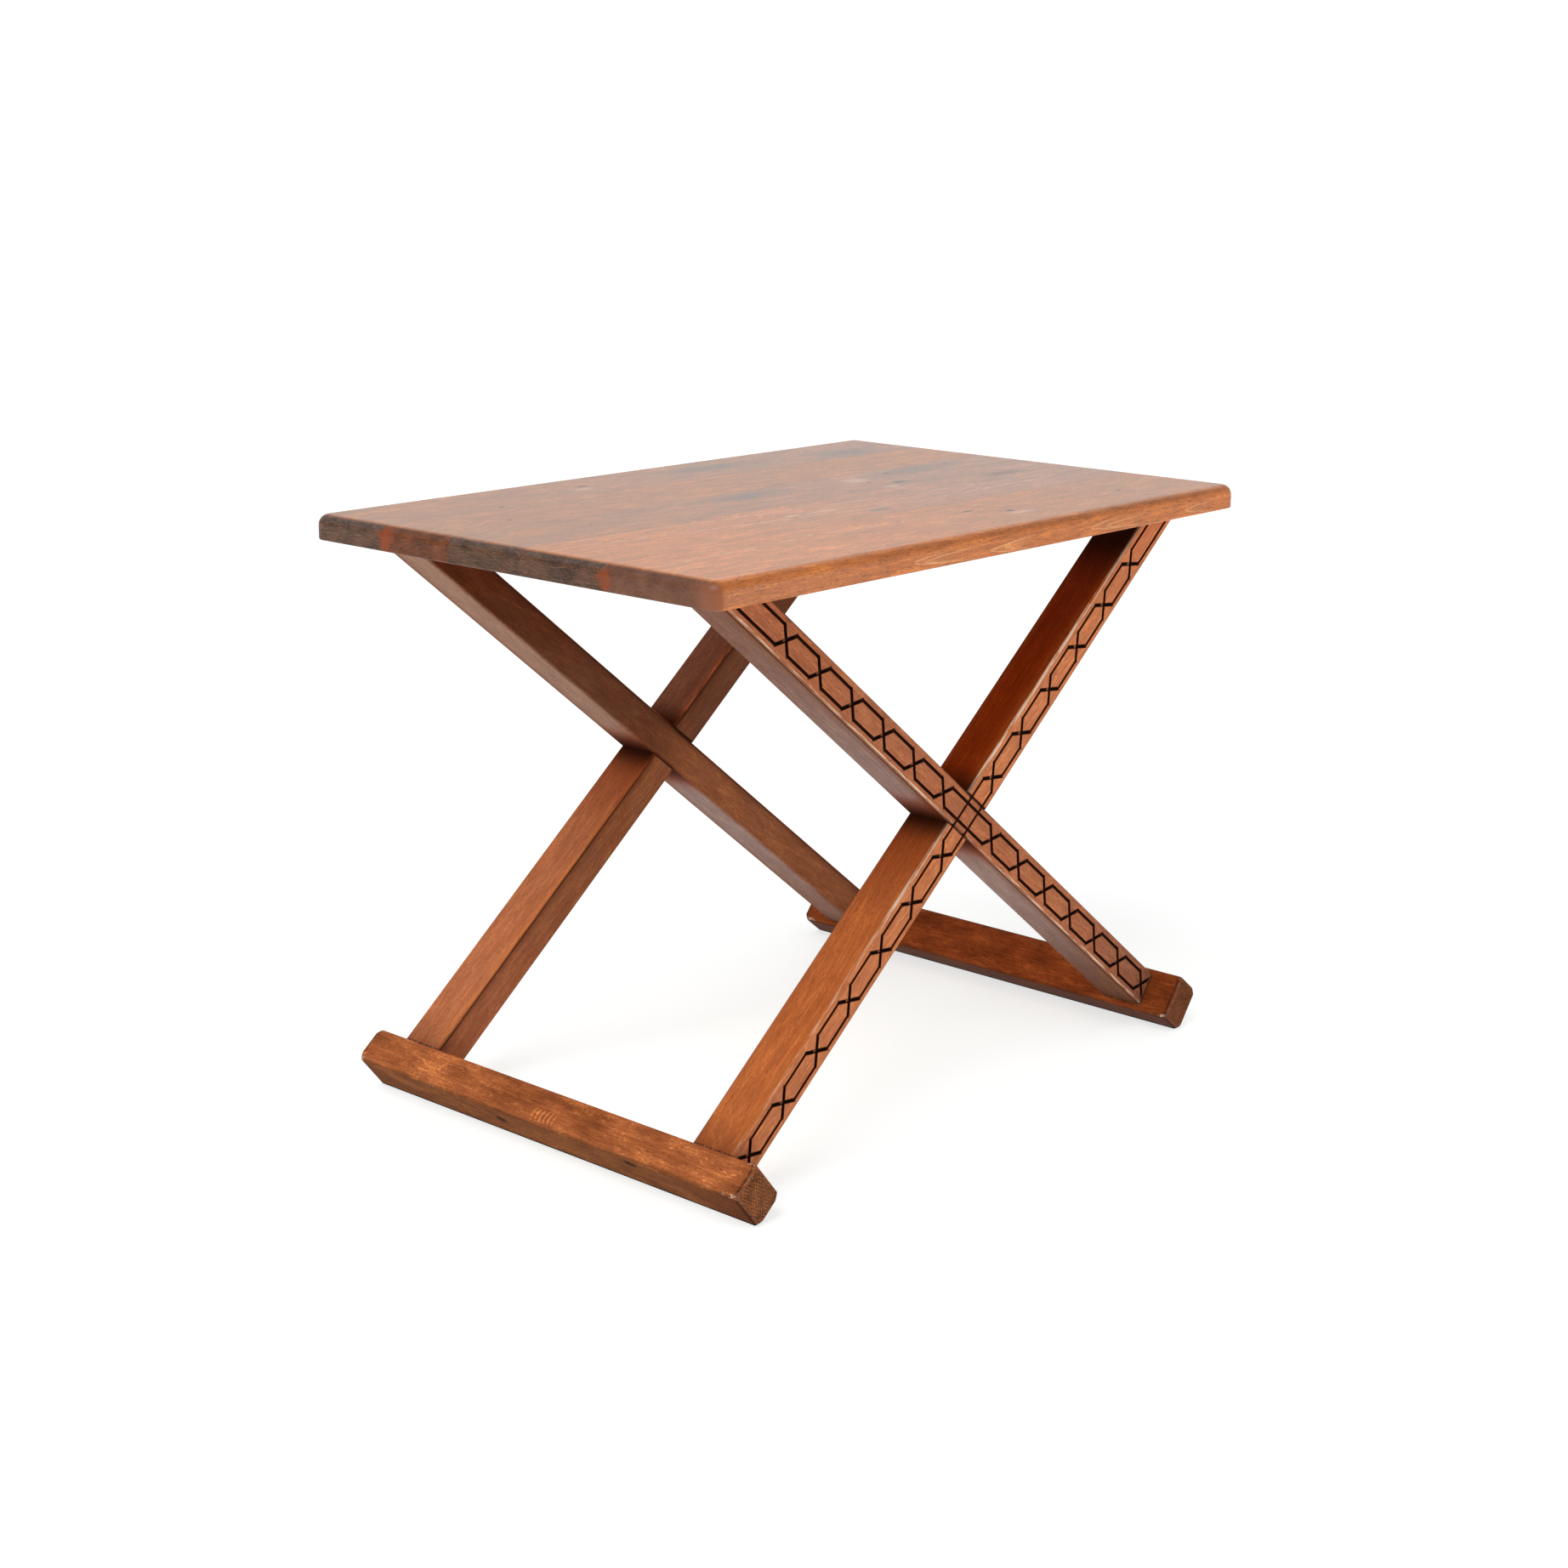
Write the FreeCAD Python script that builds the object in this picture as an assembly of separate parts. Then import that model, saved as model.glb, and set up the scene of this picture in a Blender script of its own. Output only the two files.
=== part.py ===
"""Low reading table on two carved cross frames.

+X runs along the long side of the top, +Y across it and +Z up. The origin is on the floor, under
the centre of the top. All lengths are in millimetres and all angles in degrees.
"""
import FreeCAD, Part
import math
import os

Vector = FreeCAD.Vector

# ---- driving dimensions ---------------------------------------------------------------------

# Top, glued up from staves that run along X.
TOP_LENGTH = 600.0
TOP_WIDTH = 400.0
TOP_THICKNESS = 18.7
TOP_EDGE_ROUND = 8.0
TOP_CORNER_ROUND = 10.0
TOP_UNDER_EASE = 1.5
STAVE_SEAMS = [-99.0, -19.0, 53.0, 123.0]

# Legs: each frame is two legs that cross in a half lap.
LEG_ANGLE = 38.9
LEG_WIDTH = 28.3
LEG_DEPTH = 37.6
LEG_EDGE_ROUND = 2.6
LEG_ABOVE_CROSSING = 316.5
LEG_BELOW_CROSSING = 312.6
FRAME_INSET = 31.6

# Foot rails: one under each pair of leg ends, square to the legs and so tilted to the floor.
FOOT_LENGTH = 392.0
FOOT_THICKNESS = 28.0
FOOT_WIDTH = 37.6
FOOT_EDGE_ROUND = 4.0
FOOT_END_ROUND = 5.0
FOOT_CORNER_REACH = 22.3
FOOT_CORNER_ROUND = 8.0
FOOT_FLAT_WIDTH = 3.0

# Carving: two lines on each leg that swap sides at every crossing, cut with a small round bit.
GROOVE_WIDTH = 2.5
GROOVE_DEPTH = 2.0
GROOVE_OFFSET = 7.8
FIRST_CROSS = 37.6
CROSS_PITCH = 44.0
CROSSES_ABOVE = 6
CROSSES_BELOW = 7

# Dowels: a pair at each end of each leg.
DOWEL_RADIUS = 4.0
DOWEL_SPACING = 18.0
DOWEL_CHAMFER = 0.8
DOWEL_IN_TOP = 12.0
DOWEL_IN_LEG_HEAD = 18.0
DOWEL_IN_FOOT = 17.0
DOWEL_IN_LEG_FOOT = 23.0
DOWEL_CLEARANCE = 0.05
DOWEL_END_GAP = 1.0

# ---- sizes worked out from them --------------------------------------------------------------

SINE = math.sin(math.radians(LEG_ANGLE))
COSINE = math.cos(math.radians(LEG_ANGLE))

# The lowest long edge of a foot rail is rounded, and then planed flat where it meets the floor.
FLAT_RISE = FOOT_EDGE_ROUND - math.sqrt(FOOT_EDGE_ROUND**2 - (FOOT_FLAT_WIDTH / 2)**2)
FOOT_CENTRE_Z = (
    (FOOT_THICKNESS / 2 - FOOT_EDGE_ROUND) * SINE
    + (FOOT_WIDTH / 2 - FOOT_EDGE_ROUND) * COSINE
    + FOOT_EDGE_ROUND
    - FLAT_RISE
)
CROSSING_Z = FOOT_CENTRE_Z + (LEG_BELOW_CROSSING + FOOT_THICKNESS / 2) * SINE
UNDERSIDE_Z = CROSSING_Z + LEG_ABOVE_CROSSING * SINE
TABLE_HEIGHT = UNDERSIDE_Z + TOP_THICKNESS

FRAME_OUTER_Y = TOP_WIDTH / 2 - FRAME_INSET
FRAME_MIDDLE_Y = FRAME_OUTER_Y - LEG_DEPTH / 2
HALF_SPACING = DOWEL_SPACING / 2

# A leg's head is cut level, so its dowels stand upright, moved towards the crossing to keep wood
# all round them.
LEG_HEAD_X = LEG_ABOVE_CROSSING * COSINE
DOWEL_HEAD_X = LEG_HEAD_X - LEG_WIDTH / SINE / 5

UP = Vector(0, 0, 1)


# ---- helpers ---------------------------------------------------------------------------------

def block(x_low, x_high, y_low, y_high, z_low, z_high):
    """Box between the given limits."""
    return Part.makeBox(x_high - x_low, y_high - y_low, z_high - z_low, Vector(x_low, y_low, z_low))


def edges_along(shape, direction):
    """Straight edges of a shape that run parallel to a direction."""
    found = []
    for edge in shape.Edges:
        run = edge.lastVertex().Point - edge.firstVertex().Point
        if run.Length > 0 and run.cross(direction).Length < 1e-6 * run.Length:
            found.append(edge)
    return found


def edges_at_height(shape, z):
    """Edges of a shape that lie wholly at one height."""
    found = []
    for edge in shape.Edges:
        box = edge.BoundBox
        if abs(box.ZMin - z) < 1e-6 and abs(box.ZMax - z) < 1e-6:
            found.append(edge)
    return found


def mirrored(shape):
    """The same shape on the other side of the plane x = 0."""
    return shape.mirror(Vector(0, 0, 0), Vector(1, 0, 0))


def turned(shape):
    """The same shape after half a turn about the table's upright axis."""
    copy = shape.copy()
    copy.rotate(Vector(0, 0, 0), UP, 180)
    return copy


def lean(shape):
    """Lean a shape drawn along X about the crossing, so that its +X end rises to the right."""
    copy = shape.copy()
    copy.rotate(Vector(0, 0, 0), Vector(0, 1, 0), -LEG_ANGLE)
    copy.translate(Vector(0, 0, CROSSING_Z))
    return copy


# ---- dowels ----------------------------------------------------------------------------------

def upright_dowel(y, radius, below, above):
    """Cylinder through the underside of the top, above the right-hand leg's head."""
    foot = Vector(DOWEL_HEAD_X, y, UNDERSIDE_Z - below)
    return Part.makeCylinder(radius, below + above, foot, UP)


def leaning_dowel(y, radius, in_foot, in_leg):
    """Cylinder along the axis of the leg that comes down to the left, across its foot's face."""
    start = Vector(-LEG_BELOW_CROSSING - in_foot, y, 0)
    return lean(Part.makeCylinder(radius, in_foot + in_leg, start, Vector(1, 0, 0)))


def chamfered(cylinder):
    """Dowel with its two round ends chamfered."""
    rims = [edge for edge in cylinder.Edges if isinstance(edge.Curve, Part.Circle)]
    return cylinder.makeChamfer(DOWEL_CHAMFER, rims)


def dowel_rows():
    """The two places across a frame where a joint's dowels stand, in the near frame."""
    return [-FRAME_MIDDLE_Y - HALF_SPACING, -FRAME_MIDDLE_Y + HALF_SPACING]


def head_dowels():
    """The dowels between the top and the head of the near frame's right-rising leg."""
    dowels = []
    for y in dowel_rows():
        dowels.append(chamfered(upright_dowel(y, DOWEL_RADIUS, DOWEL_IN_LEG_HEAD, DOWEL_IN_TOP)))
    return Part.makeCompound(dowels)


def foot_dowels():
    """The dowels between the left foot rail and the near frame's right-rising leg."""
    dowels = []
    for y in dowel_rows():
        dowels.append(chamfered(leaning_dowel(y, DOWEL_RADIUS, DOWEL_IN_FOOT, DOWEL_IN_LEG_FOOT)))
    return Part.makeCompound(dowels)


def head_holes():
    """The holes for the head dowels."""
    radius = DOWEL_RADIUS + DOWEL_CLEARANCE
    below = DOWEL_IN_LEG_HEAD + DOWEL_END_GAP
    above = DOWEL_IN_TOP + DOWEL_END_GAP
    return Part.makeCompound([upright_dowel(y, radius, below, above) for y in dowel_rows()])


def foot_holes():
    """The holes for the foot dowels."""
    radius = DOWEL_RADIUS + DOWEL_CLEARANCE
    in_foot = DOWEL_IN_FOOT + DOWEL_END_GAP
    in_leg = DOWEL_IN_LEG_FOOT + DOWEL_END_GAP
    return Part.makeCompound([leaning_dowel(y, radius, in_foot, in_leg) for y in dowel_rows()])


# ---- carving ---------------------------------------------------------------------------------

def carved_line(side):
    """One carved line, as a flat outline in a leg's own plane: X along the leg, Z across it.

    It stops with a round end at its lowest crossing, and runs out over the leg's head.
    """
    centres = [-FIRST_CROSS - CROSS_PITCH * step for step in reversed(range(CROSSES_BELOW))]
    centres += [FIRST_CROSS + CROSS_PITCH * step for step in range(CROSSES_ABOVE)]
    stop = GROOVE_OFFSET - GROOVE_WIDTH / 2
    points = [Vector(centres[0] - stop, 0, side * stop)]
    for centre in centres:
        if centre > centres[0]:
            points.append(Vector(centre - GROOVE_OFFSET, 0, side * GROOVE_OFFSET))
        side = -side
        points.append(Vector(centre + GROOVE_OFFSET, 0, side * GROOVE_OFFSET))
    points.append(Vector(LEG_ABOVE_CROSSING + LEG_DEPTH, 0, side * GROOVE_OFFSET))
    route = Part.makePolygon(points)
    round_joins = 0
    return route.makeOffset2D(GROOVE_WIDTH / 2, round_joins, True)


def carving():
    """Everything that is cut from the near frame's outer face: both lines of both legs."""
    cutters = []
    for side in (-1, 1):
        line = carved_line(side)
        line.translate(Vector(0, -FRAME_OUTER_Y - GROOVE_DEPTH, 0))
        cutter = lean(line.extrude(Vector(0, 2 * GROOVE_DEPTH, 0)))
        cutters.append(cutter)
        cutters.append(mirrored(cutter))
    return cutters


# ---- legs ------------------------------------------------------------------------------------

def plain_leg():
    """The near frame's right-rising leg before it is lapped: level head, square lower end."""
    bar = block(
        -LEG_BELOW_CROSSING,
        LEG_ABOVE_CROSSING + LEG_WIDTH,
        -FRAME_OUTER_Y,
        -FRAME_OUTER_Y + LEG_DEPTH,
        -LEG_WIDTH / 2,
        LEG_WIDTH / 2,
    )
    bar = bar.makeFillet(LEG_EDGE_ROUND, edges_along(bar, Vector(1, 0, 0)))
    leg = lean(bar)
    above_head = block(0, TOP_LENGTH, -TOP_WIDTH, 0, UNDERSIDE_Z, UNDERSIDE_Z + LEG_WIDTH * 2)
    leg = leg.cut(above_head)
    return leg.cut(head_holes()).cut(foot_holes())


def lap_notch(y_low, y_high):
    """The room that the right-rising leg needs at the crossing, over half of the frame's depth."""
    return lean(block(-LEG_WIDTH, LEG_WIDTH, y_low, y_high, -LEG_WIDTH / 2, LEG_WIDTH / 2))


def near_frame_legs():
    """The two legs of the near frame: the one whole at the outer face, and the one notched there."""
    outer_half = (-FRAME_OUTER_Y - 1, -FRAME_MIDDLE_Y)
    inner_half = (-FRAME_MIDDLE_Y, -FRAME_OUTER_Y + LEG_DEPTH + 1)
    whole_outside = mirrored(plain_leg()).cut(lap_notch(*inner_half))
    notched_outside = plain_leg().cut(mirrored(lap_notch(*outer_half)))
    for cutter in carving():
        whole_outside = whole_outside.cut(cutter)
        notched_outside = notched_outside.cut(cutter)
    return whole_outside, notched_outside


# ---- foot rails ------------------------------------------------------------------------------

def left_foot_rail():
    """Rail under the left leg ends, rounded all over and planed flat where it meets the floor.

    Its ends are rounded more than its long edges, and their corners are rubbed down to a round bar.
    """
    middle = -LEG_BELOW_CROSSING - FOOT_THICKNESS / 2
    rail = block(
        middle - FOOT_THICKNESS / 2,
        middle + FOOT_THICKNESS / 2,
        -FOOT_LENGTH / 2,
        FOOT_LENGTH / 2,
        -FOOT_WIDTH / 2,
        FOOT_WIDTH / 2,
    )
    long_edges = edges_along(rail, Vector(0, 1, 0))
    end_edges = edges_along(rail, Vector(1, 0, 0)) + edges_along(rail, UP)
    long_rounded = rail.makeFillet(FOOT_EDGE_ROUND, long_edges)
    end_rounded = rail.makeFillet(FOOT_END_ROUND, end_edges)
    start = Vector(middle, -FOOT_LENGTH / 2, 0)
    round_bar = Part.makeCylinder(FOOT_CORNER_REACH, FOOT_LENGTH, start, Vector(0, 1, 0))
    rims = [edge for edge in round_bar.Edges if isinstance(edge.Curve, Part.Circle)]
    round_bar = round_bar.makeFillet(FOOT_CORNER_ROUND, rims)
    rail = lean(long_rounded.common(end_rounded).common(round_bar))
    below_floor = block(-TOP_LENGTH, 0, -TOP_WIDTH, TOP_WIDTH, -FOOT_WIDTH, 0)
    near_holes = foot_holes()
    far_holes = mirrored(turned(near_holes))
    return rail.cut(below_floor).cut(near_holes).cut(far_holes)


# ---- top -------------------------------------------------------------------------------------

def whole_top():
    """The top as one board, with its edges rounded and its dowel holes drilled."""
    board = block(
        -TOP_LENGTH / 2,
        TOP_LENGTH / 2,
        -TOP_WIDTH / 2,
        TOP_WIDTH / 2,
        UNDERSIDE_Z,
        TABLE_HEIGHT,
    )
    board = board.makeFillet(TOP_CORNER_ROUND, edges_along(board, UP))
    board = board.makeFillet(TOP_EDGE_ROUND, edges_at_height(board, TABLE_HEIGHT))
    board = board.makeFillet(TOP_UNDER_EASE, edges_at_height(board, UNDERSIDE_Z))
    near_right = head_holes()
    near_left = mirrored(near_right)
    for holes in (near_right, near_left, turned(near_right), turned(near_left)):
        board = board.cut(holes)
    return board


def staves():
    """The top sawn at its glue lines, in order from the near side to the far side."""
    board = whole_top()
    edges = [-TOP_WIDTH / 2] + STAVE_SEAMS + [TOP_WIDTH / 2]
    strips = []
    for low, high in zip(edges, edges[1:]):
        strip = block(-TOP_LENGTH, TOP_LENGTH, low, high, UNDERSIDE_Z - 1, TABLE_HEIGHT + 1)
        strips.append(board.common(strip))
    return strips


# ---- build -----------------------------------------------------------------------------------

def build():
    """Every piece of the table, by name."""
    pieces = {}
    for number, stave in enumerate(staves(), start=1):
        pieces["top_stave_%d" % number] = stave

    whole_outside, notched_outside = near_frame_legs()
    pieces["near_frame_through_leg"] = whole_outside
    pieces["near_frame_lapped_leg"] = notched_outside
    pieces["far_frame_through_leg"] = turned(whole_outside)
    pieces["far_frame_lapped_leg"] = turned(notched_outside)

    pieces["left_foot_rail"] = left_foot_rail()
    pieces["right_foot_rail"] = mirrored(pieces["left_foot_rail"])

    pieces["near_right_head_dowels"] = head_dowels()
    pieces["near_left_head_dowels"] = mirrored(pieces["near_right_head_dowels"])
    pieces["far_left_head_dowels"] = turned(pieces["near_right_head_dowels"])
    pieces["far_right_head_dowels"] = turned(pieces["near_left_head_dowels"])

    pieces["near_left_foot_dowels"] = foot_dowels()
    pieces["near_right_foot_dowels"] = mirrored(pieces["near_left_foot_dowels"])
    pieces["far_right_foot_dowels"] = turned(pieces["near_left_foot_dowels"])
    pieces["far_left_foot_dowels"] = turned(pieces["near_right_foot_dowels"])
    return pieces


os.makedirs("parts", exist_ok=True)
for name, piece in build().items():
    piece.exportStep("parts/%s.step" % name)
print("table height %.2f, crossing at %.2f" % (TABLE_HEIGHT, CROSSING_Z))
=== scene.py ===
"""Low reading table on two carved cross frames: its woods, studio light, pale floor and camera."""
import math

import bpy
from mathutils import Matrix, Vector


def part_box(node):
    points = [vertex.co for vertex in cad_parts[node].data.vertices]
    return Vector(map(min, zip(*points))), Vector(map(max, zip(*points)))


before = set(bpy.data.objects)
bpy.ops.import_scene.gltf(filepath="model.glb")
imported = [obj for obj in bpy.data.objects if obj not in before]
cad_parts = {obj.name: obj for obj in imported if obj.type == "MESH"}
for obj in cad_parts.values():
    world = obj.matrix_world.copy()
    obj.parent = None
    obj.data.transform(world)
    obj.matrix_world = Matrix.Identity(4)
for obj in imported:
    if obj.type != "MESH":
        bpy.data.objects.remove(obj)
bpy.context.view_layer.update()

MM = 0.001

# ---- the table's own measures, in millimetres, in the frame of the model ---------------------

LEG_ANGLE = math.radians(38.9)
LEG_WIDTH = 28.3
LEG_BELOW_CROSSING = 312.6
FOOT_THICKNESS = 28.0
FOOT_HALF_LENGTH = 196.0
GROOVE_OFFSET = 7.8
GROOVE_WIDTH = 2.5
GROOVE_DEPTH = 2.0
FIRST_CROSS = 37.6
CROSS_PITCH = 44.0
CROSSINGS_ABOVE_LAP = 6
LAST_CROSS = FIRST_CROSS + (CROSSINGS_ABOVE_LAP - 1) * CROSS_PITCH


def box_mm(node):
    """Lowest and highest corner of a node, in millimetres."""
    low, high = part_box(node)
    return low / MM, high / MM


UNDERSIDE_Z = box_mm("top_stave_1")[0].z
TOP_MIDDLE_Z = (UNDERSIDE_Z + box_mm("top_stave_1")[1].z) / 2

# The far frame. The near frame stands as far to the other side of y = 0.
FRAME_OUTER_Y = box_mm("far_frame_through_leg")[1].y
FRAME_INNER_Y = box_mm("far_frame_through_leg")[0].y
FRAME_MIDDLE_Y = (FRAME_OUTER_Y + FRAME_INNER_Y) / 2

ALONG_LEG = Vector((math.cos(LEG_ANGLE), 0, math.sin(LEG_ANGLE)))
ACROSS_LEG = Vector((-math.sin(LEG_ANGLE), 0, math.cos(LEG_ANGLE)))

# Both legs of a frame are the same, so the axis of one meets the axis of the other at the middle
# of the frame's width, at the height where this leg's axis passes over x = 0.
HEAD_RIGHT_X = box_mm("near_frame_lapped_leg")[1].x
CROSSING_Z = UNDERSIDE_Z - (HEAD_RIGHT_X - LEG_WIDTH / 2 / math.sin(LEG_ANGLE)) * math.tan(LEG_ANGLE)


# ---- a small language for shader nodes -------------------------------------------------------

class Wire:
    """A number, point or colour that a material works out, held as the socket it comes from."""

    def __init__(self, graph, socket):
        self.graph = graph
        self.socket = socket

    def __add__(self, other):
        return self.graph.math("ADD", self, other)

    def __sub__(self, other):
        return self.graph.math("SUBTRACT", self, other)

    def __mul__(self, other):
        return self.graph.math("MULTIPLY", self, other)

    def __truediv__(self, other):
        return self.graph.math("DIVIDE", self, other)

    def __radd__(self, other):
        return self.graph.math("ADD", other, self)

    def __rsub__(self, other):
        return self.graph.math("SUBTRACT", other, self)

    def __rmul__(self, other):
        return self.graph.math("MULTIPLY", other, self)

    def __abs__(self):
        return self.graph.math("ABSOLUTE", self)


class Graph:
    """The nodes of one material."""

    def __init__(self, name):
        self.material = bpy.data.materials.new(name)
        self.material.use_nodes = True
        self.tree = self.material.node_tree
        self.tree.nodes.clear()

    def node(self, kind, **settings):
        made = self.tree.nodes.new(kind)
        for setting, value in settings.items():
            setattr(made, setting, value)
        return made

    def feed(self, socket, value):
        if isinstance(value, Wire):
            self.tree.links.new(value.socket, socket)
        else:
            socket.default_value = value

    def math(self, operation, *values):
        made = self.node("ShaderNodeMath", operation=operation)
        for socket, value in zip(made.inputs, values):
            self.feed(socket, value)
        return Wire(self, made.outputs[0])

    def clamp(self, value):
        made = self.node("ShaderNodeClamp")
        self.feed(made.inputs["Value"], value)
        return Wire(self, made.outputs[0])

    def point(self, x, y, z):
        made = self.node("ShaderNodeCombineXYZ")
        for socket, value in zip(made.inputs, (x, y, z)):
            self.feed(socket, value)
        return Wire(self, made.outputs[0])

    def split(self, vector):
        made = self.node("ShaderNodeSeparateXYZ")
        self.feed(made.inputs[0], vector)
        return [Wire(self, output) for output in made.outputs]

    def place(self):
        """Where the surface is, in millimetres, in the model's frame."""
        made = self.node("ShaderNodeTexCoord")
        return [axis * 1000.0 for axis in self.split(Wire(self, made.outputs["Object"]))]

    def facing(self):
        """The direction that the surface faces."""
        made = self.node("ShaderNodeNewGeometry")
        return self.split(Wire(self, made.outputs["Normal"]))

    def step(self, value, low, high):
        """0 below low and 1 above high, with a smooth rise between them; low may be the higher."""
        made = self.node("ShaderNodeMapRange", interpolation_type="SMOOTHSTEP")
        self.feed(made.inputs["Value"], value)
        flipped = low > high
        made.inputs["From Min"].default_value = min(low, high)
        made.inputs["From Max"].default_value = max(low, high)
        made.inputs["To Min"].default_value = 1.0 if flipped else 0.0
        made.inputs["To Max"].default_value = 0.0 if flipped else 1.0
        return Wire(self, made.outputs["Result"])

    def noise(self, point, detail=2.0, roughness=0.5):
        """Smooth noise between 0 and 1 with features about one unit of the point wide."""
        made = self.node("ShaderNodeTexNoise")
        self.feed(made.inputs["Vector"], point)
        made.inputs["Scale"].default_value = 1.0
        made.inputs["Detail"].default_value = detail
        made.inputs["Roughness"].default_value = roughness
        return Wire(self, made.outputs[0])

    def mix(self, amount, first, second, blend="MIX"):
        """Colour that goes from first to second as the amount goes from 0 to 1.

        With the blend ADD or MULTIPLY it goes to their sum or to their product instead.
        """
        made = self.node("ShaderNodeMix", data_type="RGBA", blend_type=blend)
        self.feed(made.inputs[0], amount)
        for socket, value in zip((made.inputs[6], made.inputs[7]), (first, second)):
            self.feed(socket, value)
        return Wire(self, made.outputs[2])

    def ramp(self, value, stops):
        """Colour looked up in a row of stops, each a place and a colour."""
        made = self.node("ShaderNodeValToRGB")
        self.feed(made.inputs[0], value)
        band = made.color_ramp
        while len(band.elements) < len(stops):
            band.elements.new(1.0)
        for element, (place, colour) in zip(band.elements, stops):
            element.position = place
            element.color = colour
        return Wire(self, made.outputs[0])

    def bump(self, height, distance):
        """Surface direction changed by a height between 0 and 1, worth a distance in millimetres."""
        made = self.node("ShaderNodeBump")
        made.inputs["Strength"].default_value = 1.0
        made.inputs["Distance"].default_value = distance * MM
        self.feed(made.inputs["Height"], height)
        return Wire(self, made.outputs[0])

    def surface(self, **inputs):
        """Finish the material with a principled shader; names use spaces as underscores."""
        shader = self.node("ShaderNodeBsdfPrincipled")
        for name, value in inputs.items():
            self.feed(shader.inputs[name.replace("_", " ")], value)
        output = self.node("ShaderNodeOutputMaterial")
        self.tree.links.new(shader.outputs[0], output.inputs["Surface"])
        return self.material


def positive(graph, value):
    """The value where it is above 0, and 0 where it is below."""
    return graph.math("MAXIMUM", value, 0.0)


def srgb(red, green, blue):
    """Colour from screen values of 0 to 255."""
    linear = [((value / 255 + 0.055) / 1.055) ** 2.4 for value in (red, green, blue)]
    return (*linear, 1.0)


# ---- wood ------------------------------------------------------------------------------------

# Each face is given its own colour: its stain, with the light and shade that fall on that face
# painted in. Each colour is the wood at its most usual tone.
AMBER = srgb(216, 129, 70)
HONEY = srgb(191, 122, 78)
SAND = srgb(184, 128, 102)
APRICOT = srgb(183, 103, 46)
CHESTNUT = srgb(181, 99, 52)
CINNAMON = srgb(167, 94, 53)
TAN = srgb(182, 108, 69)
COPPER = srgb(161, 94, 61)
COCOA = srgb(138, 82, 58)
WALNUT = srgb(138, 81, 50)
HAZEL = srgb(135, 88, 66)
ROSY = srgb(151, 111, 91)
TAUPE = srgb(146, 116, 107)
DUSTY = srgb(128, 88, 72)
RUSSET = srgb(138, 54, 13)
MAHOGANY = srgb(118, 46, 14)
TEAK = srgb(121, 69, 36)
SIENNA = srgb(150, 73, 34)
UMBER = srgb(102, 58, 35)
BARK = srgb(84, 38, 13)

BLACK = (0.0, 0.0, 0.0, 1.0)

# The top has a fuller finish than the legs and feet, so it reflects more.
TOP_IOR = 1.2
LEG_IOR = 1.1
TOP_COAT = 0.43

# How deep the grain is felt, in millimetres.
GRAIN_DEPTH = 0.12

# How the grain changes the stain's colour: from its darkest streaks to its lightest.
GRAIN = [(0.0, (0.16, 0.13, 0.12, 1.0)), (0.5, (1.0, 1.0, 1.0, 1.0)), (1.0, (2.3, 2.7, 2.6, 1.0))]

END_DARK = srgb(54, 28, 16)
END_LIGHT = srgb(140, 88, 58)
GREY_STAIN = srgb(128, 104, 90)
SLATE = srgb(104, 98, 98)
BROWN = srgb(92, 62, 44)
ORANGE_STAIN = srgb(146, 60, 8)
WORN = srgb(232, 200, 172)
BUFF = srgb(238, 180, 124)
CHALKY = srgb(224, 197, 174)
# Dark grime, seams and knots, and also painted shade under the top and at the floor.
GRIME_AND_SHADE = srgb(30, 17, 11)
SHADOWED = srgb(52, 19, 7)
# The burnt lines, painted darker still as shade deep in the grooves, and their walls painted in shade
# and as lit.
SCORCHED_IN_DEEP_SHADE = srgb(24, 10, 5)
SCORCHED_WALL_IN_SHADE = srgb(48, 20, 9)
LIT_WALL = srgb(104, 50, 25)


def wood(graph, along, side, depth, seed, pith, dip, clouds, flecks=0.14, swell=0.0):
    """Tone of stained beech, which is 0.5 at its most usual, and the height of its surface.

    along runs with the grain, side and depth across it, all in millimetres. pith is where the
    tree's centre lies across the grain, and dip is how far it sinks in each millimetre along it,
    which draws the arches on a flat-sawn face. clouds and flecks set how strong the soft patches
    and the small light marks are. swell adds rings where the grain goes round a knot.
    """
    sway = graph.noise(graph.point(along / 170.0 + seed, side / 45.0, depth / 45.0), 2.0) - 0.5
    from_pith_side = side - pith[0] + sway * 40.0
    from_pith_depth = depth - pith[1] - along * dip + sway * 25.0
    radius = graph.math("SQRT", from_pith_side * from_pith_side + from_pith_depth * from_pith_depth)
    ring = graph.math("FRACT", radius / 5.2 + sway * 3.0 + swell)
    ring_line = graph.step(ring, 0.72, 0.94) * graph.step(ring, 1.0, 0.95)

    mottle = graph.noise(graph.point(along / 32.0 + seed, side / 13.0, depth / 13.0), 4.0, 0.62) - 0.5
    streak = graph.noise(graph.point(along / 60.0, side / 3.2 + seed, depth / 3.2), 2.0, 0.6) - 0.5
    fibre = graph.noise(graph.point(along / 16.0, side / 1.1 + seed, depth / 1.1), 3.0, 0.65) - 0.5
    pore_noise = graph.noise(graph.point(along / 4.0 + seed, side / 0.7, depth / 0.7), 1.0)
    fleck_noise = graph.noise(graph.point(along / 3.2, side / 1.3, depth / 1.3 + seed), 1.5)
    pore = graph.step(pore_noise, 0.56, 0.7)
    fleck = graph.step(fleck_noise, 0.56, 0.7)

    crowded = graph.step(mottle, -0.12, 0.12)
    tone = 0.5 + mottle * clouds + streak * 0.18 + fibre * 0.6 + ring_line * 0.08 - pore * 0.22
    tone = tone + fleck * crowded * flecks
    height = 0.5 + fibre * 0.8 - pore * 0.35 + fleck * 0.1
    return tone, height


def stained(graph, tone, stain):
    """Colour of the wood where it has the given stain, which carries painted light and shade too."""
    return graph.mix(1.0, stain, graph.ramp(tone, GRAIN), "MULTIPLY")


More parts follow.
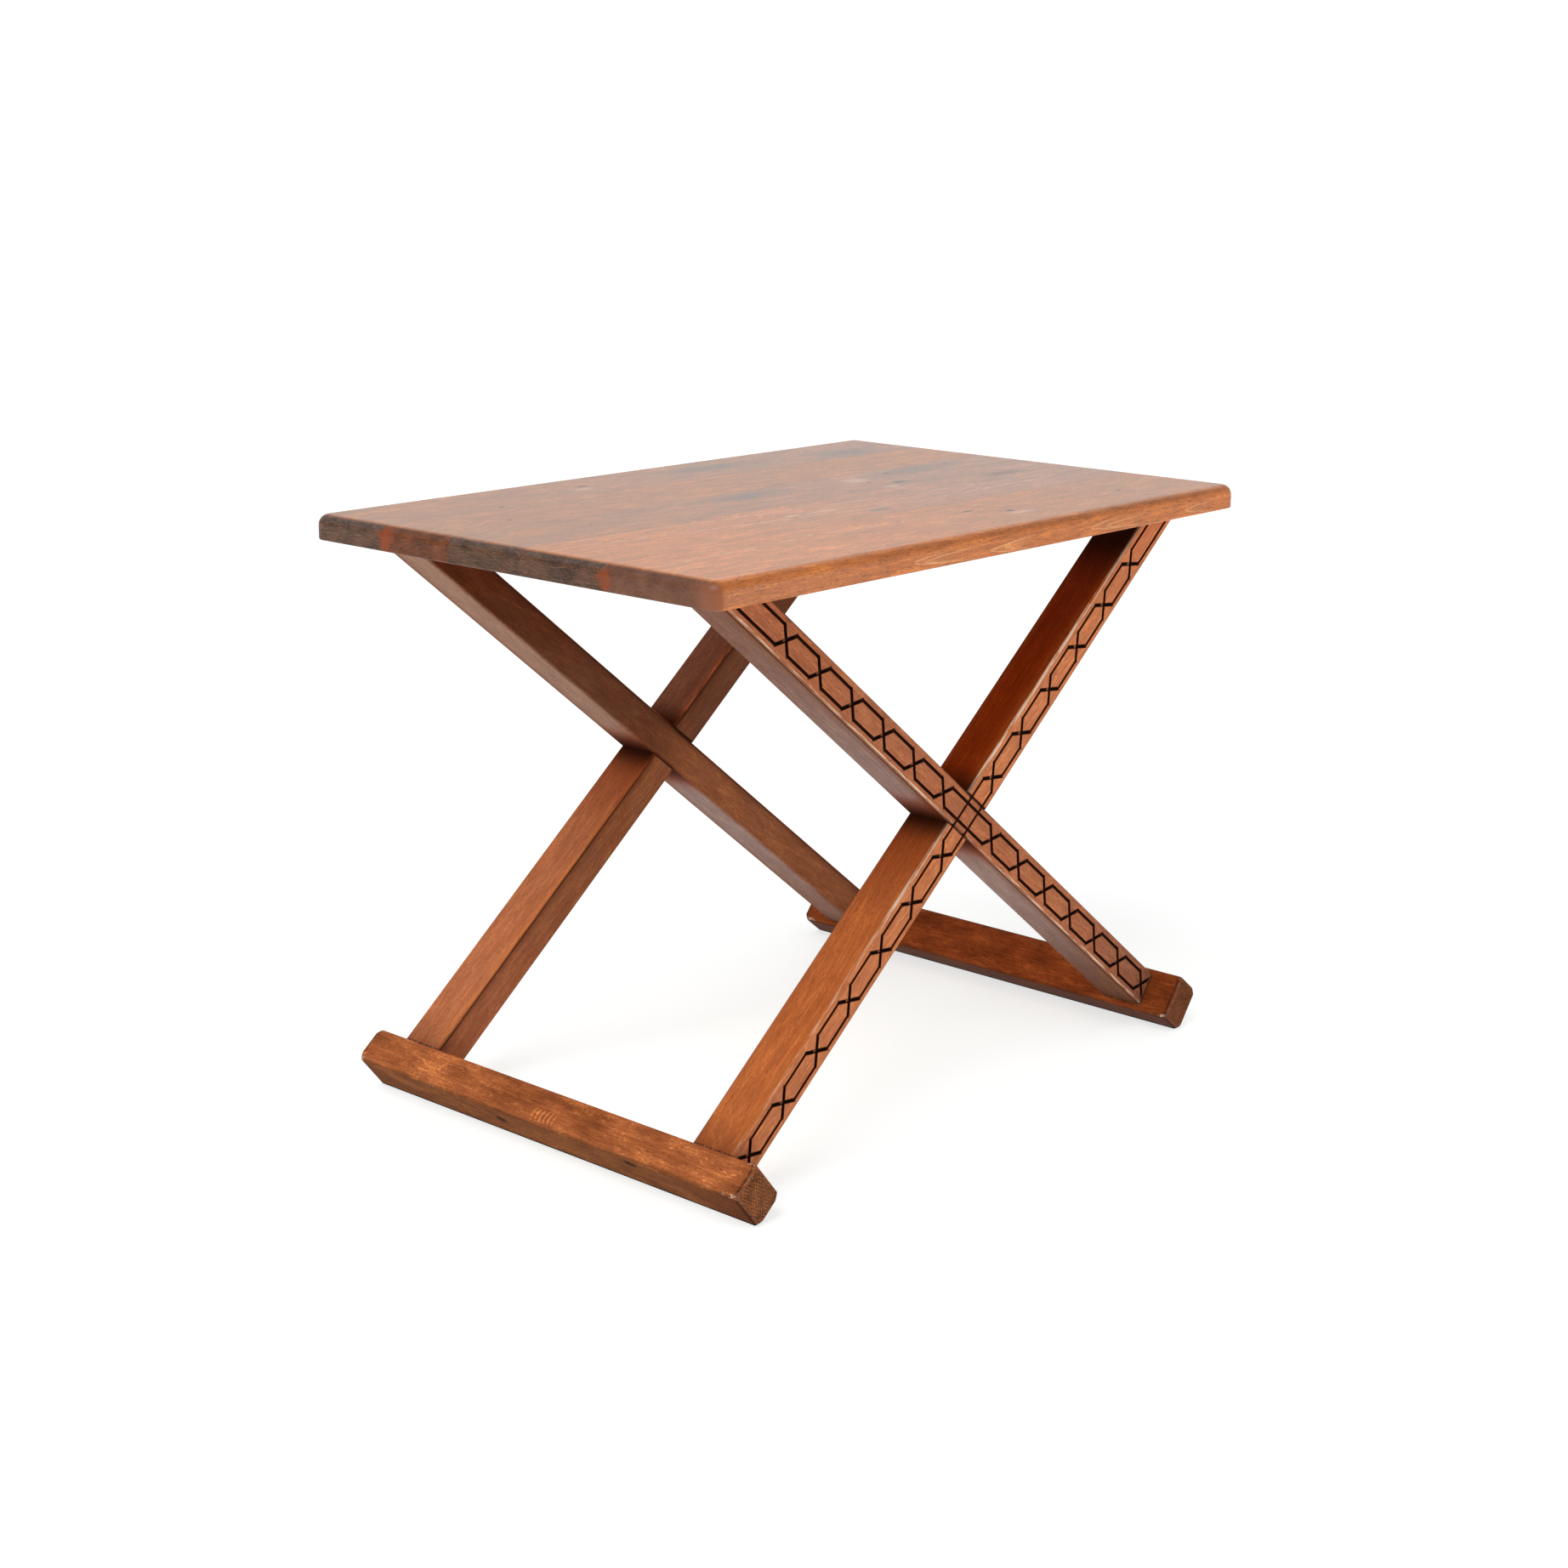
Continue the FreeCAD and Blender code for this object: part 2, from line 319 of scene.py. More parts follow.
def end_grain(graph, side, depth, along, seed, pith, dark, light):
    """Colour of sawn ends, with their rings and open pores."""
    from_pith_side = side - pith[0]
    from_pith_depth = depth - pith[1]
    radius = graph.math("SQRT", from_pith_side * from_pith_side + from_pith_depth * from_pith_depth)
    wander = graph.noise(graph.point(side / 12.0, depth / 12.0, along / 12.0 + seed), 3.0, 0.6) - 0.5
    ring = graph.math("FRACT", radius / 3.4 + wander * 2.4)
    ring_line = graph.step(ring, 0.7, 0.9) * graph.step(ring, 1.0, 0.93)
    pores = graph.noise(graph.point(side / 0.8, depth / 0.8 + seed, along / 0.8), 2.0, 0.6) - 0.5
    tone = 0.44 + wander * 1.4 + pores * 1.1 + ring_line * 0.25
    return graph.ramp(tone, [(0.0, dark), (1.0, light)])


def spot(graph, x, y, place, size, blur=0.5):
    """1 in the middle of a ragged oval and 0 outside it."""
    out_x = (x - place[0]) / size[0]
    out_y = (y - place[1]) / size[1]
    ragged = graph.noise(graph.point(x / 9.0 + place[0], y / 3.5 + place[1], 0.0), 3.0, 0.6) - 0.5
    out = graph.math("SQRT", out_x * out_x + out_y * out_y) + ragged * 1.1
    return graph.step(out, 1.0, 1.0 - blur)


def swelling(graph, x, y, place, size, rings):
    """Extra growth rings round a knot."""
    out_x = (x - place[0]) / size[0]
    out_y = (y - place[1]) / size[1]
    return graph.math("EXPONENT", (out_x * out_x + out_y * out_y) * -1.0) * rings


def finish_wood(graph, colour, height, roughness, ior, coat=0.0):
    """Finish a material with the sheen of its stain, and a soft coat over that on the top."""
    return graph.surface(
        Base_Color=colour,
        Roughness=roughness,
        IOR=ior,
        Coat_Weight=coat,
        Coat_Roughness=0.3,
        Normal=graph.bump(height, GRAIN_DEPTH),
    )


# ---- top -------------------------------------------------------------------------------------

# What is painted over a stave for each kind of patch: its colour and how strongly.
PATCHES = {"grey": (SLATE, 0.6), "brown": (BROWN, 0.6), "pale": (WORN, 0.45)}


def pale_streak(graph, x, y, start, finish, waver):
    """1 on a thin pale line of grain between two points on the top, broken into dashes."""
    slope = (finish[1] - start[1]) / (finish[0] - start[0])
    sway = graph.noise(graph.point(x / 95.0, start[1], 0.0), 1.0) - 0.5
    off = abs(y - (x - start[0]) * slope - start[1] + sway * waver)
    dashes = graph.noise(graph.point(x / 14.0, y / 2.0, start[0]), 3.0, 0.7)
    inside = graph.step(x, start[0], start[0] + 30.0) * graph.step(x, finish[0], finish[0] - 30.0)
    return graph.step(off, 1.4, 0.4) * inside * graph.step(dashes, 0.42, 0.6)


def paint(graph, colour, masks, target, strength):
    """Colour with each of the masks painted over it."""
    for mask in masks:
        colour = graph.mix(mask * strength, colour, target)
    return colour


def marked_stave(graph, colour, x, y, marks):
    """Colour with the patches, pale streaks and knots of one stave painted over it."""
    for kind, (target, strength) in PATCHES.items():
        patches = [spot(graph, x, y, *mark) for mark in marks.get(kind, ())]
        colour = paint(graph, colour, patches, target, strength)
    streaks = [pale_streak(graph, x, y, *mark) for mark in marks.get("streaks", ())]
    colour = paint(graph, colour, streaks, WORN, 0.75)
    knots = [spot(graph, x, y, *mark) for mark in marks.get("knots", ())]
    return paint(graph, colour, knots, GRIME_AND_SHADE, 0.9)


def arch_lines(graph, x, z, tip, length):
    """1 on the pale outlines of pointed arches of grain that open out from a tip on a long edge."""
    from_tip = (x - tip[0]) / length
    ragged = graph.noise(graph.point(x / 12.0, z / 2.0, tip[0]), 3.0, 0.6) - 0.5
    spread = graph.math("SQRT", positive(graph, from_tip)) * 6.0
    inward = spread - abs(z - tip[1]) + ragged * 2.0
    reach = graph.step(from_tip, 0.0, 0.05) * graph.step(from_tip, 0.9, 0.1)
    outline = graph.step(inward, 0.0, 0.5) * graph.step(inward, 1.6, 0.6)
    return graph.clamp(outline + graph.step(inward, 0.0, 1.0) * 0.15) * reach


def stave_edges(number):
    """The two long sides of a stave."""
    low, high = box_mm("top_stave_%d" % number)
    return low.y, high.y


def stave_end(graph, x, y, z, face_z, seed, pith, end_colours, marks):
    """Colour of a stave's sawn ends, with scratches, pooled orange stain and a chipped upper rim."""
    end = end_grain(graph, y, z, x, seed, pith, *end_colours)
    scratches = graph.noise(graph.point(y / 11.0, z / 0.7, seed), 3.0, 0.65)
    scratched = marks.get("scratched", 1.0)
    end = graph.mix(graph.step(scratches, 0.54, 0.7) * (0.3 * scratched), end, SAND)
    end = graph.mix(graph.step(scratches, 0.46, 0.32) * (0.5 * scratched), end, GRIME_AND_SHADE)

    ragged = graph.noise(graph.point(y / 5.0, z / 5.0, seed), 3.0, 0.6) - 0.5
    for edge, reach in marks.get("orange_ends", ()):
        from_spot = abs(y - edge) + abs(z - TOP_MIDDLE_Z) * 0.7 + ragged * 20.0
        end = graph.mix(graph.step(from_spot, reach, reach * 0.3) * 0.7, end, ORANGE_STAIN)
    end = graph.mix(graph.step(y, -172.0, -200.0) * 0.7, end, COPPER)

    chipped = graph.noise(graph.point(y / 6.0, z / 2.0, seed + 5.0), 3.0, 0.7)
    upper_rim = graph.step(face_z, 0.3, 0.7) * scratched
    return graph.mix(upper_rim * (graph.step(chipped, 0.5, 0.62) * 0.45 + 0.15), end, SLATE)


def stave_material(number, seed, pith, dip, stains_and_shade, grey, end_colours, marks):
    """Wood of one stave of the top, whose grain runs along X.

    stains_and_shade are its colours on the upper face at the left and at the right, and on its long
    edge: its stain, with painted light and shade that differ from face to face.
    grey is how strongly the upper face has turned grey in soft clouds. end_colours are the darkest
    and the lightest of its sawn ends. marks are what stands out on it, by kind, with every place in
    millimetres: x and y on the upper face, y on the ends, and x and z on the long edge.
    """
    graph = Graph("stave_%d_wood" % number)
    x, y, z = graph.place()
    face_x, face_y, face_z = graph.facing()

    swell = 0.0
    for place, size, rings in marks.get("swellings", ()):
        swell = swelling(graph, x, y, place, size, rings) + swell
    tone, height = wood(graph, x, y, z, seed, pith, dip, 0.32, 0.1, swell)

    on_top = graph.step(face_z, 0.7, 0.98)
    # Rounded edges carry a faint painted highlight; the upper rounding of the long edges, more to the
    # right, is painted darker as shade.
    rounded = graph.step(graph.math("MAXIMUM", abs(face_y), abs(face_z)), 0.97, 0.8)
    upper_rounding_shade = rounded * graph.step(face_z, 0.15, 0.35) * graph.step(x, -260.0, 60.0)
    long_edge = (1.0 - on_top) * graph.step(x, -270.0, -130.0)
    tone_here = tone + rounded * 0.02 - long_edge * 0.03 - upper_rounding_shade * 0.14
    upper_stain = graph.mix(graph.step(x, -260.0, 260.0), stains_and_shade[0], stains_and_shade[1])
    colour = stained(graph, tone_here, graph.mix(on_top, stains_and_shade[2], upper_stain))
    cloud = graph.noise(graph.point(x / 90.0 + seed, y / 26.0, 0.0), 3.0, 0.6)
    colour = graph.mix(graph.step(cloud, 0.35, 0.65) * on_top * grey, colour, GREY_STAIN)
    colour = marked_stave(graph, colour, x, y, marks)
    for tip, length in marks.get("arches", ()):
        colour = graph.mix(arch_lines(graph, x, z, tip, length) * (1.0 - on_top) * 0.4, colour, BUFF)
    seam = graph.math("MINIMUM", *[abs(y - edge) for edge in stave_edges(number)])
    colour = graph.mix(graph.step(seam, 0.5, 0.15) * on_top * 0.35, colour, GRIME_AND_SHADE)

    toward_end = graph.step(abs(face_x), 0.15, 0.6)
    end = stave_end(graph, x, y, z, face_z, seed, pith, end_colours, marks)
    colour = graph.mix(toward_end, colour, end)
    roughness = 0.56 - on_top * 0.2 + (tone - 0.5) * 0.1 + toward_end * 0.2
    return finish_wood(graph, colour, height, roughness, TOP_IOR, TOP_COAT)


# ---- legs ------------------------------------------------------------------------------------

def turned(x, y, z):
    """A direction or place, along and across a leg that rises toward +X, and through it."""
    along = x * ALONG_LEG.x + z * ALONG_LEG.z
    across = x * ACROSS_LEG.x + z * ACROSS_LEG.z
    return along, across, y


def leg_axes(graph, rise):
    """Along, across the width and across the depth of a leg that rises toward +X or -X."""
    x, y, z = graph.place()
    return turned(x * float(rise), y, z - CROSSING_Z)


def leg_facing(graph, rise):
    """The direction that the surface faces, along, across and through the same leg."""
    x, y, z = graph.facing()
    return turned(x * float(rise), y, z)


class LegSurface:
    """Where a place on a leg is, how the surface faces there, and how the edges are rubbed.

    rise is +1 where the leg rises toward +X and -1 where it rises toward -X. out is +1 where its
    carved face is toward +Y and -1 where it is toward -Y.
    """

    def __init__(self, graph, rise, out, seed):
        self.along, self.across, self.y = leg_axes(graph, rise)
        self.other_along, self.other_across = leg_axes(graph, -rise)[:2]
        self.height = graph.place()[2]
        self.inside = FRAME_OUTER_Y - abs(self.y)

        self.face_along, self.face_up, face_y = leg_facing(graph, rise)
        self.face_out = face_y * float(out)
        self.skyward = graph.facing()[2]
        self.up_face = positive(graph, self.face_up)
        self.down_face = positive(graph, self.face_up * -1.0)
        self.outer_face = positive(graph, self.face_out)
        self.inner_face = positive(graph, self.face_out * -1.0)

        along, across, y = self.along, self.across, self.y
        self.rubbed = graph.noise(graph.point(along / 22.0 + seed, across / 1.6, y / 1.6), 4.0, 0.65)
        self.thread = graph.noise(graph.point(along / 40.0 + seed, across / 0.7, y / 0.7), 2.0, 0.6)


def face_stain_and_shade(graph, leg, stains_and_shade):
    """The colour on each face of a leg, its stain with painted light and shade, which changes from its
    foot to under the crossing, over the crossing and its head.
    """
    stages = [
        graph.step(leg.along, -290.0, -110.0),
        graph.step(leg.along, -30.0, 30.0),
        graph.step(leg.along, 50.0, 290.0),
    ]
    weights = {
        "upper": leg.up_face,
        "lower": leg.down_face,
        "outer": leg.outer_face,
        "inner": leg.inner_face,
    }
    total = BLACK
    for face, weight in weights.items():
        stations = stains_and_shade[face]
        stain = stations[0]
        for stage, after in zip(stages, stations[1:]):
            stain = graph.mix(stage, stain, after)
        total = graph.mix(weight * weight, total, stain, "ADD")
    return total


def worn_highlit_edge(graph, leg, colour, wear_and_highlight):
    """Colour with a painted highlight and pale worn threads on the upper outer edge, along its stretch.
    """
    start, finish, strength = wear_and_highlight
    stretch = graph.step(leg.along, start - 60.0, start) * graph.step(leg.along, finish + 70.0, finish)
    edge = positive(graph, leg.face_up * leg.face_out * 2.0)
    # The rounding is painted lighter: a highlight over worn wood.
    polished_highlight = graph.step(edge, 0.2, 0.5) * (stretch * 0.5 + 0.3) * strength
    colour = graph.mix(polished_highlight, colour, APRICOT)
    beside_edge = graph.step(leg.inside, 10.0, 2.0) * leg.up_face * graph.step(leg.rubbed, 0.3, 0.6)
    colour = graph.mix(beside_edge * 0.4 * strength, colour, APRICOT)
    # Pale threads: worn wood under a painted highlight.
    worn = graph.step(edge, 0.35, 0.85) * graph.step(leg.rubbed + stretch * 0.08, 0.45, 0.6)
    worn = worn * graph.step(leg.thread, 0.28, 0.48) * (stretch * 0.6 + 0.4) * strength
    return graph.mix(worn, colour, CHALKY)


def painted_edge_light_and_shade(graph, leg, colour, rim):
    """Colour with soft bands and thin lines of painted light and shade by the lower outer and upper
    inner edge.
    """
    from_inside = abs(leg.y) - FRAME_INNER_Y
    # A soft band painted lighter, as lit, on the upper face by the inner edge.
    lit_band = graph.step(from_inside, 9.0, 1.0) * leg.up_face * graph.step(leg.rubbed, 0.35, 0.6)
    colour = graph.mix(lit_band * 0.45, colour, rim)
    dark_band = graph.step(leg.inside, 13.0, 2.0) * leg.down_face
    colour = graph.mix(dark_band * 0.6, colour, TEAK)
    # Painted shadow on the inner face just below the upper edge.
    below_rim = graph.step(leg.across, LEG_WIDTH / 2 - 9.0, LEG_WIDTH / 2 - 1.5) * leg.inner_face
    colour = graph.mix(below_rim * 0.38, colour, SHADOWED)

    # On these rounded edges, a painted shadow line on the side of the inner and the lower face, and a
    # broken painted highlight on the side of the upper and the outer face.
    rim_edge = graph.step(leg.face_up * leg.face_out * -1.0, 0.04, 0.15)
    light_side = graph.math("MAXIMUM", leg.face_up, leg.face_out)
    dark_side = graph.math("MAXIMUM", leg.face_up * -1.0, leg.face_out * -1.0)
    broken = graph.step(leg.rubbed, 0.4, 0.54) * graph.step(leg.thread, 0.4, 0.52)
    dark_rim = rim_edge * graph.step(dark_side, 0.8, 0.95)
    light_rim = rim_edge * graph.step(light_side, 0.7, 0.9) * broken
    colour = graph.mix(dark_rim * 0.8, colour, SHADOWED)
    return graph.mix(light_rim * 0.75, colour, rim)


def glue_lines(graph, leg, colour, notched):
    """Colour with the dark lines where the leg meets the other leg and the foot rail."""
    half_way = graph.step(abs(leg.y), FRAME_MIDDLE_Y - 1.0, FRAME_MIDDLE_Y)
    over = half_way if notched == "outer" else 1.0 - half_way
    beside = graph.step(abs(leg.other_across), LEG_WIDTH / 2 + 1.4, LEG_WIDTH / 2 + 0.2)
    sides = leg.face_up * leg.face_up
    lap = beside * graph.math("MAXIMUM", sides, over) * graph.step(abs(leg.along), 80.0, 60.0)
    at_foot = graph.step(leg.along, 2.4 - LEG_BELOW_CROSSING, 0.6 - LEG_BELOW_CROSSING)
    line = graph.mix(graph.step(leg.rubbed, 0.5, 0.6) * sides * 0.4, GRIME_AND_SHADE, WORN)
    return graph.mix(graph.math("MAXIMUM", lap, at_foot) * 0.85, colour, line)


def shaded_leg(graph, leg, colour):
    """Colour darkened beside the crossing, under the top and at the foot, and where it is darkest."""
    from_other = abs(leg.other_across)
    # Painted shade: the lower face turns warmer and redder toward the crossing, and so does the upper
    # face below it.
    warm_shade = graph.step(from_other, 64.0, 28.0) * graph.step(abs(leg.along), 100.0, 70.0) * leg.down_face
    colour = graph.mix(warm_shade * 0.7, colour, RUSSET)
    below = graph.step(from_other, 110.0, 20.0) * graph.step(leg.along, 0.0, -20.0) * leg.up_face
    colour = graph.mix(below * 0.6, colour, RUSSET)

    under = graph.step(from_other, 50.0, 15.0) * leg.down_face
    over = graph.step(from_other, 40.0, 15.0) * leg.up_face
    crossing_shade = (under + over) * graph.step(abs(leg.along), 90.0, 60.0)
    colour = graph.mix(crossing_shade * 0.92, colour, SHADOWED)

    # Painted shadow under the top on the upper face, and darker toward the foot.
    shade_under_top = graph.step(leg.height, UNDERSIDE_Z - 56.0, UNDERSIDE_Z - 20.0) * leg.up_face
    near_foot = graph.step(leg.along, -280.0, -320.0) * 0.4
    colour = graph.mix(graph.math("MAXIMUM", shade_under_top * 0.92, near_foot), colour, GRIME_AND_SHADE)
    return colour, crossing_shade


def carved_lines(graph, along, across):
    """How far a place on a leg's outer face is from its carved lines, from the middle of a crossing
    and from that crossing along the leg.
    """
    reach = graph.math("MAXIMUM", abs(along) - FIRST_CROSS, -CROSS_PITCH / 2)
    from_cross = abs(graph.math("WRAP", reach, CROSS_PITCH / 2, -CROSS_PITCH / 2))
    from_cross = graph.math("MAXIMUM", from_cross, along - LAST_CROSS)
    line = graph.math("MINIMUM", from_cross, GROOVE_OFFSET)
    return abs(abs(across) - line), from_cross + abs(across), from_cross


def burnt(graph, along, across):
    """1 in the carved lines of a leg, apart from the paler middle of each crossing, and how far a
    place is toward the crossings, where the lines lean, are burnt, and are painted darkest as shade.
    """
    off, from_middle, from_cross = carved_lines(graph, along, across)
    on_leg = graph.step(abs(across), 11.0, 10.5)
    paler = graph.step(from_middle, 2.2, 1.0) * 0.5
    darkest = graph.step(from_cross, GROOVE_OFFSET + 1.5, GROOVE_OFFSET - 0.5)
    return graph.step(off, GROOVE_WIDTH, GROOVE_WIDTH * 0.8) * on_leg * (1.0 - paler), darkest


def carved_leg(graph, leg, colour):
    """Colour with the carved lines of both legs burnt into the outer face, and how burnt it is."""
    near_face = graph.step(leg.inside, GROOVE_DEPTH + 0.6, GROOVE_DEPTH + 0.3)
    below_face = graph.step(leg.inside, 0.05, 0.2)
    own, own_dark = burnt(graph, leg.along, leg.across)
    other, other_dark = burnt(graph, leg.other_along, leg.other_across)
    lines = graph.math("MAXIMUM", own, other) * below_face * near_face
    darkest = graph.math("MAXIMUM", own * own_dark, other * other_dark) * near_face

    # Groove walls painted lighter where they face up, as lit, and darker elsewhere as shade; the lines
    # near the crossings are painted darkest, as shade deep in the grooves.
    on_wall = graph.step(abs(leg.face_out), 0.8, 0.4)
    lit = graph.step(leg.skyward, 0.2, 0.7) * (1.0 - darkest * 0.9)
    wall_colour = graph.mix(lit, SCORCHED_WALL_IN_SHADE, LIT_WALL)
    line_colour = graph.mix(on_wall, graph.mix(darkest, SCORCHED_WALL_IN_SHADE, SCORCHED_IN_DEEP_SHADE), wall_colour)
    scorch = graph.math("MAXIMUM", lines, darkest * 0.85)
    return graph.mix(scorch, colour, line_colour), scorch


def leg_material(name, rise, out, notched, seed, pith, stains_and_shade, grey, wear_and_highlight, rim):
    """Wood of one leg: carved lines burnt dark, rounded edges worn, and painted light and shade.

    notched is the side on which the other leg crosses over it: "outer" or "inner". stains_and_shade
    are its colours on each face, from the foot to the head: its stain with painted light and shade.
    wear_and_highlight is the stretch of the upper outer edge that is rubbed pale under a painted
    highlight, and how strongly. rim is the colour of the soft band and the thin broken line beside the
    lower outer and the upper inner edge: worn wood under a painted highlight.
    """
    graph = Graph(name)
    leg = LegSurface(graph, rise, out, seed)
    along, across, y = leg.along, leg.across, leg.y
    tone, height = wood(graph, along, across, y, seed, pith, 0.05, 0.4)
    tone = (tone - 0.5) * 0.8 + 0.5
    colour = stained(graph, tone, face_stain_and_shade(graph, leg, stains_and_shade))
    cloud = graph.noise(graph.point(along / 70.0 + seed, across / 20.0, y / 20.0), 3.0, 0.6)
    colour = graph.mix(graph.step(cloud, 0.4, 0.7) * grey, colour, GREY_STAIN)
    end = end_grain(graph, across, y, along, seed, pith, END_DARK, END_LIGHT)
    colour = graph.mix(graph.step(abs(leg.face_along), 0.45, 0.85), colour, end)

    colour = worn_highlit_edge(graph, leg, colour, wear_and_highlight)
    colour = painted_edge_light_and_shade(graph, leg, colour, rim)
    colour = glue_lines(graph, leg, colour, notched)
    colour, crossing_shade = shaded_leg(graph, leg, colour)
    colour, scorch = carved_leg(graph, leg, colour)
    duller = graph.math("MAXIMUM", scorch * 0.3, crossing_shade * 0.4)
    return finish_wood(graph, colour, height, 0.52 + (tone - 0.5) * 0.1 + duller, LEG_IOR)


# ---- feet ------------------------------------------------------------------------------------

def foot_stain_and_shade(graph, facing, stains_and_shade):
    """The colour on each long face of a foot rail and on its ends: its stain, with painted shade."""
    face_along, face_across, face_y = facing
    weights = [
        positive(graph, face_along),
        positive(graph, face_along * -1.0),
        positive(graph, face_across),
        positive(graph, face_across * -1.0),
    ]
    total = graph.mix(face_y * face_y, BLACK, WALNUT, "ADD")
    for weight, stain in zip(weights, stains_and_shade):
        total = graph.mix(weight * weight, total, stain, "ADD")
    return total


def chatter_marks(graph, y, over_face, low, high, middle):
    """A short row of curved light marks that a blunt plane left across a face."""
    off = over_face - middle
    arc = graph.math("FRACT", (y + off * off * 0.05) / 4.2)
    row = graph.step(y, low, low + 3.0) * graph.step(y, high, high - 3.0)
    return graph.step(abs(arc - 0.5), 0.22, 0.08) * graph.step(abs(off), 6.0, 3.0) * row


def saw_marks(graph, along, across):
    """Two sets of fine pale scratches that cross each other on a sawn end."""
    marks = 0.0
    for lean, pitch in ((0.35, 2.3), (-0.9, 3.1)):
        stroke = graph.math("FRACT", (along + across * lean) / pitch)
        faint = graph.noise(graph.point(along / 6.0 + pitch, across / 6.0, 0.0), 2.0)
        marks = graph.step(abs(stroke - 0.5), 0.16, 0.04) * graph.step(faint, 0.4, 0.65) + marks
    return graph.clamp(marks)


def sawn_foot_end(graph, along, across, y, seed, pith, sawn):
    """Colour of the sawn ends of a foot rail."""
    end = end_grain(graph, along, across, y, seed, (pith[0] + 40.0, pith[1]), END_DARK, END_LIGHT)
    end = graph.mix(saw_marks(graph, along, across) * sawn, end, AMBER)
    return graph.mix(0.45 - sawn, end, BARK)


def scuffed_foot(graph, colour, place, facing, near_end, seed):
    """Colour with grime round the ends, dust on their bevels and corners that are rubbed pale."""
    along, across, y = place
    face_along, face_across, face_y = facing
    dusty = graph.noise(graph.point(along / 3.0, across / 6.0, y / 3.0 + seed), 3.0, 0.6)
    scuffed = graph.step(abs(face_y), 0.03, 0.3) * graph.step(abs(face_y), 0.6, 0.4)
    colour = graph.mix(scuffed * (dusty * 0.9 + 0.1), colour, GRIME_AND_SHADE)
    bevel = graph.step(abs(face_y), 0.4, 0.6) * graph.step(abs(face_y), 0.9, 0.7)
    colour = graph.mix(bevel * graph.step(dusty, 0.4, 0.7) * 0.5, colour, SLATE)

    edge = abs(face_along * face_across) * 2.0
    rubbed = graph.noise(graph.point(along / 3.0, across / 3.0, y / 6.0 + seed), 3.0, 0.7)
    worn = graph.step(edge, 0.5, 0.9) * graph.step(rubbed, 0.5, 0.62) * near_end
    return graph.mix(worn * 0.8, colour, WORN)


def foot_material(name, rise, seed, pith, stains_and_shade, marked, shades, flecks, sawn, knots, chatter):
    """Wood of a foot rail, whose grain runs along Y.

    stains_and_shade are the colours of the faces toward the leg, toward the floor, up the outside and
    under the inside: their stain, painted darker as shade on the faces toward the floor and under the
    inside. marked is the face that has darker shades and a row of curved tool marks, called chatter:
    "leg" or "outside". knots lie on the face toward the floor. sawn is how strongly the saw marked the
    ends.
    """
    graph = Graph(name)
    along, across, y = place = leg_axes(graph, rise)
    face_along, face_across, face_y = facing = leg_facing(graph, rise)

    tone, height = wood(graph, y, along, across, seed, pith, 0.05, 0.75, flecks)
    over_face = across if marked == "leg" else along + LEG_BELOW_CROSSING + FOOT_THICKNESS / 2
    on_face = graph.step(face_along if marked == "leg" else face_across, 0.5, 0.9)
    if chatter:
        tone = tone + chatter_marks(graph, y, over_face, *chatter) * on_face * 0.35
    near_end = graph.step(abs(y), FOOT_HALF_LENGTH - 20.0, FOOT_HALF_LENGTH - 2.0)
    colour = stained(graph, tone - near_end * 0.12, foot_stain_and_shade(graph, facing, stains_and_shade))
    shaded = [spot(graph, y, over_face, *shade) * on_face for shade in shades]
    colour = paint(graph, colour, shaded, BARK, 0.45)
    floorward = graph.step(face_along, -0.7, -0.95)
    knot_spots = [spot(graph, y, across, *knot) * floorward for knot in knots]
    colour = paint(graph, colour, knot_spots, GRIME_AND_SHADE, 0.8)
    colour = graph.mix(floorward * graph.step(y, -130.0, -185.0) * 0.6, colour, BARK)

    end = sawn_foot_end(graph, along, across, y, seed, pith, sawn)
    colour = graph.mix(graph.step(abs(face_y), 0.6, 0.95), colour, end)
    colour = scuffed_foot(graph, colour, place, facing, near_end, seed)
    # Painted contact shadow: the foot darkest where it meets the floor.
    contact_shadow = graph.step(graph.place()[2], 3.2, 1.4)
    colour = graph.mix(contact_shadow * 0.95, colour, GRIME_AND_SHADE)
    duller = graph.step(abs(face_y), 0.55, 0.9) * 0.3 + floorward * 0.2
    return finish_wood(graph, colour, height, 0.5 + (tone - 0.5) * 0.1 + duller, LEG_IOR)


# ---- dowels ----------------------------------------------------------------------------------

def dowel_material():
    """Bare wood of the hidden dowels."""
    graph = Graph("dowel_wood")
    x, y, z = graph.place()
    streak = graph.noise(graph.point(x / 2.0, y / 1.0, z / 12.0), 3.0)
    colour = graph.ramp(streak, [(0.2, srgb(176, 138, 98)), (0.8, srgb(214, 182, 142))])
    return graph.surface(Base_Color=colour, Roughness=streak * 0.3 + 0.45)


# ---- every piece -----------------------------------------------------------------------------

DARK_ENDS = (srgb(30, 16, 9), srgb(116, 78, 54))
BROWN_ENDS = (srgb(54, 20, 6), srgb(140, 74, 32))
WARM_ENDS = (srgb(86, 50, 34), srgb(128, 82, 58))
GREY_ENDS = (srgb(36, 21, 13), srgb(122, 84, 61))

